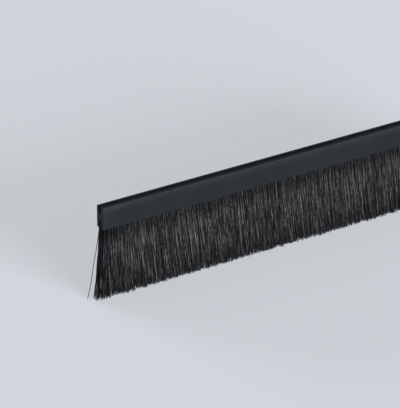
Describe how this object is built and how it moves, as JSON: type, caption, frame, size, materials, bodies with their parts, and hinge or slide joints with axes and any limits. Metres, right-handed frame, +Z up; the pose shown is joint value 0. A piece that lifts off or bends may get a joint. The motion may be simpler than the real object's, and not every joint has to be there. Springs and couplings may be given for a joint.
{
  "type": "cable brush strip",
  "caption": "Slotted plastic carrier bar that pushes onto a panel edge, with a hanging curtain of dark bristles that cables pass through.",
  "frame": {"origin": "middle of the floor of the panel slot, where the edge of the panel seats", "axes": "+X along the strip, +Y towards its back, +Z up out of the panel slot, with the bristles hanging towards -Z"},
  "size_m": [0.3141, 0.007, 0.06],
  "materials": {
    "carrier_plastic": "matt extruded anthracite PVC",
    "channel_steel": "blackened folded strip",
    "wire_steel": "blackened drawn wire",
    "bristle_nylon": "satin drawn nylon filament"
  },
  "bodies": {
    "root": {"carrier_profile": "carrier_plastic", "backing_channel": "channel_steel", "core_wire": "wire_steel", "bristle_fill": "bristle_nylon"}
  },
  "joints": []
}
